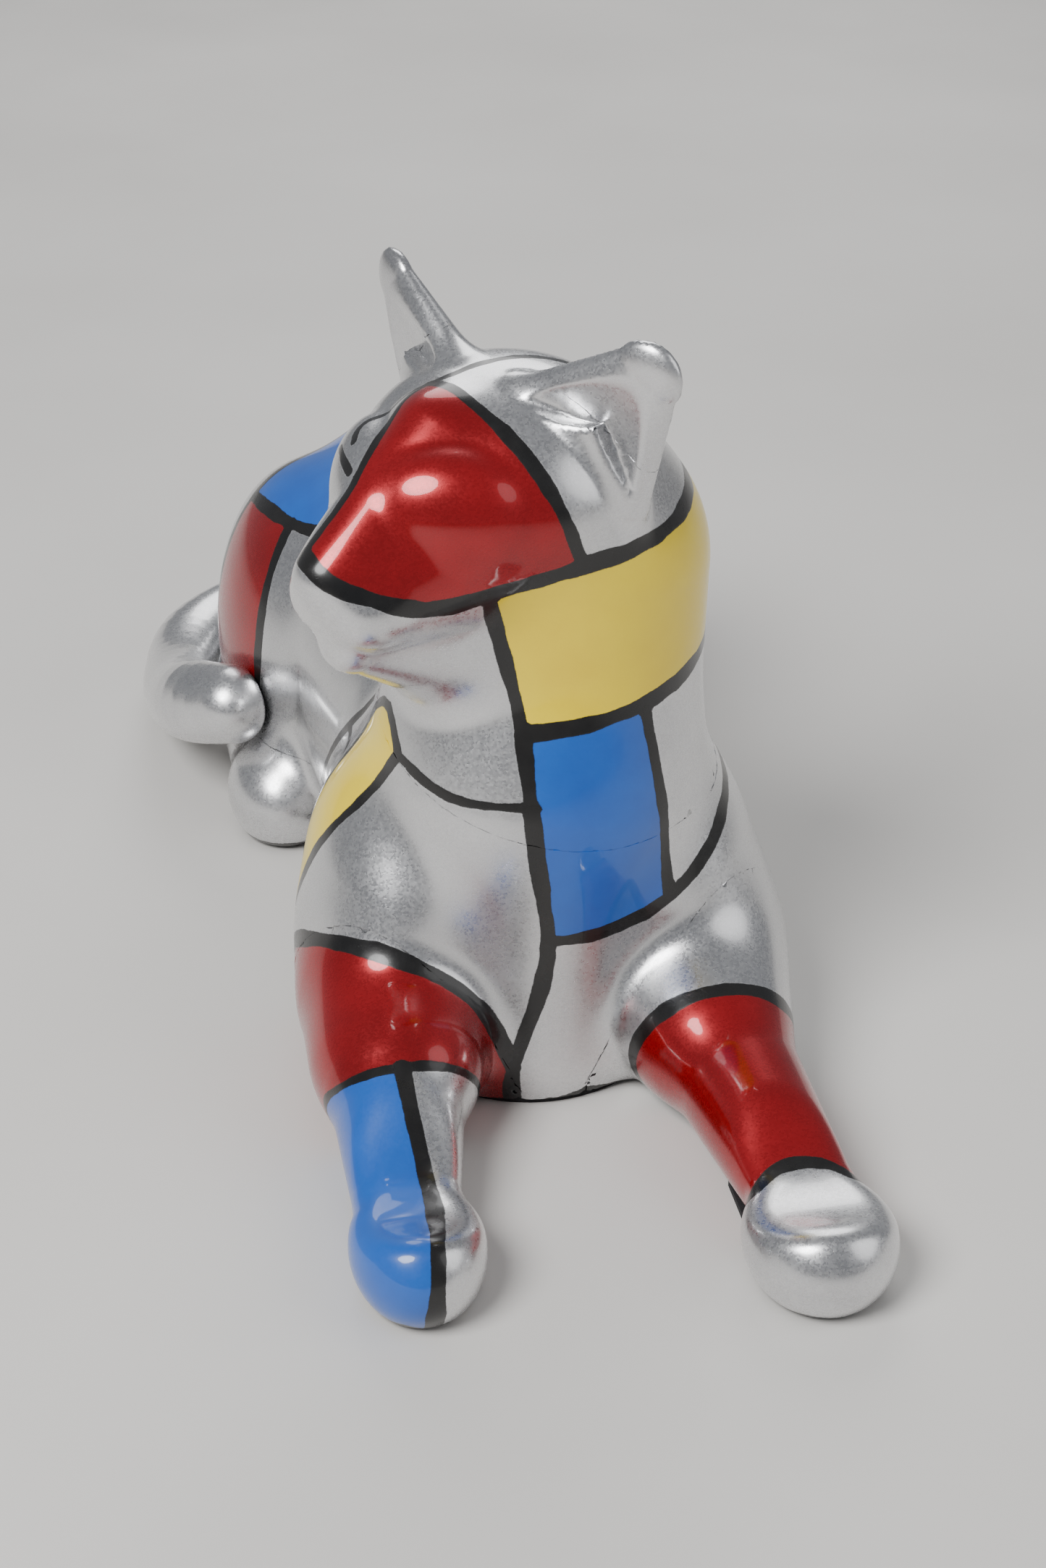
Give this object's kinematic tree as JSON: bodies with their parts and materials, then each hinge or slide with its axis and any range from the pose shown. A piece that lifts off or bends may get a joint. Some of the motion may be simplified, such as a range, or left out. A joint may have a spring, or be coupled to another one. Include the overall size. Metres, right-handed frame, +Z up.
{
  "type": "painted lying cat figure",
  "caption": "Lying cat figure with its head turned to one side, carved in dowelled wooden pieces and painted in colour blocks with black lines.",
  "frame": {"origin": "on the felt's bottom face, at the middle of the figure's width between chest and rump", "axes": "+Z up, -Y the way the chest and front paws face, +X the cat's own left side"},
  "size_m": [0.1815, 0.4369, 0.2319],
  "materials": {
    "silver_paint": "carved wood in gloss silver paint with fine metal flake",
    "red_paint": "carved wood in clear gloss red over silver",
    "blue_paint": "carved wood in gloss blue paint",
    "dowel_wood": "plain turned dowel, unpainted",
    "black_felt": "thin black felt, trimmed by hand"
  },
  "bodies": {
    "root": {"forebody": "silver_paint", "hindbody": "silver_paint", "head": "silver_paint", "left_ear": "silver_paint", "right_ear": "silver_paint", "left_foreleg": "red_paint", "right_foreleg": "blue_paint", "left_hind_foot": "silver_paint", "right_hind_foot": "silver_paint", "tail": "silver_paint", "neck_dowel": "dowel_wood", "left_waist_dowel": "dowel_wood", "right_waist_dowel": "dowel_wood", "left_foreleg_dowel": "dowel_wood", "right_foreleg_dowel": "dowel_wood", "left_hind_foot_dowel": "dowel_wood", "right_hind_foot_dowel": "dowel_wood", "tail_dowel": "dowel_wood", "left_ear_peg": "dowel_wood", "right_ear_peg": "dowel_wood", "chest_felt": "black_felt", "rump_felt": "black_felt", "left_front_paw_felt": "black_felt", "right_front_paw_felt": "black_felt", "left_hind_paw_felt": "black_felt", "right_hind_paw_felt": "black_felt", "tail_felt": "black_felt"}
  },
  "joints": []
}
